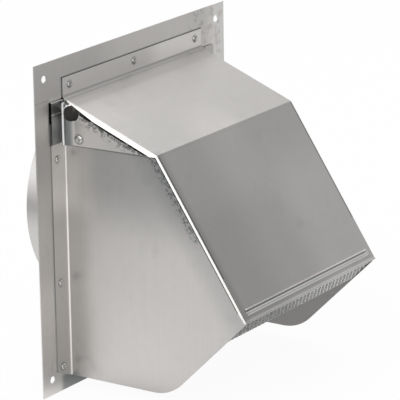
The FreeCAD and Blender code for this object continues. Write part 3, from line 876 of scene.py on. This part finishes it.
def flatDiamonds(setup, halfWidth, total):
    # A square grid turned by 45 degrees, scaled to the diamonds, and opened inside each
    across, along = setup["diamondLong"], setup["diamondShort"]
    steps = int(setup["spareGrid"] * (total / along + 2 * halfWidth / across))
    shape = bmesh.new()
    bmesh.ops.create_grid(shape, x_segments=steps, y_segments=steps, size=steps / 2)
    quarter = Matrix.Rotation(math.radians(45), 3, "Z")
    bmesh.ops.rotate(shape, verts=shape.verts, cent=(0, 0, 0), matrix=quarter)
    side = math.sqrt(0.5)
    bmesh.ops.scale(shape, verts=shape.verts, vec=(across * side, along * side, 1))
    bmesh.ops.translate(shape, verts=shape.verts, vec=(0, total / 2, 0))
    reach = Vector((halfWidth, total / 2)) + Vector((across, along))
    outside = [face for face in shape.faces if abs(face.calc_center_median().x) > reach.x
               or abs(face.calc_center_median().y - total / 2) > reach.y]
    bmesh.ops.delete(shape, geom=outside, context="FACES")
    openings = shape.faces[:]
    bmesh.ops.inset_individual(shape, faces=openings, thickness=setup["strand"] / 2, use_even_offset=True)
    bmesh.ops.delete(shape, geom=openings, context="FACES")
    return shape


def makeBirdScreen(setup):
    low, high = [Vector(corner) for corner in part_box("bird_screen")]
    route = screenRoute(setup, low, high)
    total = sum((end - start).length for start, end in zip(route, route[1:]))
    shape = flatDiamonds(setup, high.x, total)
    for side in (1, -1):
        cutAcross(shape, (side * high.x, 0, 0), (side, 0, 0), True)
    cutAcross(shape, (0, total, 0), (0, 1, 0), True)
    cutAcross(shape, (0, 0, 0), (0, -1, 0), True)
    bent = 0
    for start, end in zip(route[:-1], route[1:-1]):
        bent += (end - start).length
        cutAcross(shape, (0, bent, 0), (0, 1, 0))
    for vertex in shape.verts:
        vertex.co = alongRoute(route, vertex.co.y) + Vector((vertex.co.x, 0, 0))
    bmesh.ops.remove_doubles(shape, verts=shape.verts, dist=setup["merge"])
    bmesh.ops.recalc_face_normals(shape, faces=shape.faces)
    bmesh.ops.solidify(shape, geom=shape.faces[:], thickness=setup["gauge"])
    bmesh.ops.recalc_face_normals(shape, faces=shape.faces)
    mesh = bpy.data.meshes.new("birdScreen")
    shape.to_mesh(mesh)
    shape.free()
    return mesh


screenMesh = makeBirdScreen(birdScreen)
finishPiece(screenMesh, "bird_screen", plain["expandedMesh"], "hood")
print("bird screen made,", len(screenMesh.polygons), "faces")


# Rivets: turned heads with the mandrel's hollow, and tails flush in their countersinks

rivetForm = {
    "headHeight": 0.0011,
    "dome": [(0.62, 0.97), (0.84, 0.72), (0.97, 0.36), (1.0, 0.10), (0.985, 0.0)],  # shares
    "hollow": 0.00085,
    "hollowFloor": 0.85,
    "hollowDepth": 0.0006,
    "lipDrop": 0.00012,
    "lipWidth": 0.00015,
    "shank": 0.0016,
    "tail": 0.0023,
    "tailDepth": 0.0005,
    "frameSides": 8,
    "turns": 24,
    "merge": 0.000005,
    "sharpAngle": 50.0,
}
rivetNodes = {
    "cover_rivets": (0, -1, 0),
    "left_cheek_rivets": (0, -1, 0),
    "right_cheek_rivets": (0, -1, 0),
    "left_gusset_rivet": (-1, 0, 0),
    "right_gusset_rivet": (1, 0, 0),
    "collar_rivets": (0, -1, 0),
    "bracket_rivets": (0, -1, 0),
    "screen_rivets": (0, -1, 0),
}


def turnedRivet(setup, radius, length):
    top = setup["headHeight"]
    grip = length - top
    floor = top - setup["hollowDepth"]
    hollow, shank = setup["hollow"], setup["shank"]
    profile = [(0, floor), (hollow * setup["hollowFloor"], floor)]
    profile += [(hollow, top - setup["lipDrop"]), (hollow + setup["lipWidth"], top)]
    profile += [(radius * across, top * up) for across, up in setup["dome"]]
    profile += [(shank, 0), (shank, setup["tailDepth"] - grip), (setup["tail"], -grip), (0, -grip)]
    shape = bmesh.new()
    line = [shape.verts.new((reach, 0, rise)) for reach, rise in profile]
    edges = [shape.edges.new(pair) for pair in zip(line, line[1:])]
    bmesh.ops.spin(shape, geom=line + edges, cent=(0, 0, 0), axis=(0, 0, 1), angle=2 * math.pi,
                   steps=setup["turns"], use_merge=True)
    bmesh.ops.remove_doubles(shape, verts=shape.verts, dist=setup["merge"])
    bmesh.ops.recalc_face_normals(shape, faces=shape.faces)
    return shape


def makeRivets(node, outward, setup):
    copy = mergedCopy(node)
    outward = Vector(outward)
    aim = outward.to_track_quat("Z", "Y").to_matrix()
    roundWithin = math.cos(math.pi / setup["frameSides"])  # the frame's heads are eight-sided
    group = bmesh.new()
    for low, high in islandBoxes(copy):
        size = high - low
        length = abs(size.dot(outward))
        radius = max(size.x if not outward.x else size.y, size.z) / 2 * roundWithin
        seat = (low + high) / 2 + outward * (length / 2 - setup["headHeight"])
        rivet = turnedRivet(setup, radius, length)
        bmesh.ops.rotate(rivet, verts=rivet.verts, cent=(0, 0, 0), matrix=aim)
        bmesh.ops.translate(rivet, verts=rivet.verts, vec=seat)
        single = bpy.data.meshes.new("singleRivet")
        rivet.to_mesh(single)
        rivet.free()
        group.from_mesh(single)
        bpy.data.meshes.remove(single)
    mesh = bpy.data.meshes.new(plainName(node))  # the copy still has this name, so Blender adds .001
    group.to_mesh(mesh)
    group.free()
    bpy.data.meshes.remove(copy)
    smoothFaces(mesh, setup["sharpAngle"])
    return mesh


for node, outward in rivetNodes.items():
    finishPiece(makeRivets(node, outward, rivetForm), node, plain["rivetAluminium"], "hood")
print("rivets turned")


# Small pieces that keep their frame mesh

smallPieces = {
    "pivot_rod": "zincPlatedRod",
    "rod_caps": "mouldedNylon",
    "left_bushing": "mouldedNylon",
    "right_bushing": "mouldedNylon",
    "flap_seal": "closedCellFoam",
}
smallSharpAngle = 28.0

for node, finish in smallPieces.items():
    mesh = mergedCopy(node)
    smoothFaces(mesh, smallSharpAngle)
    finishPiece(mesh, node, plain[finish], bodyOf[node])
print("small pieces dressed")
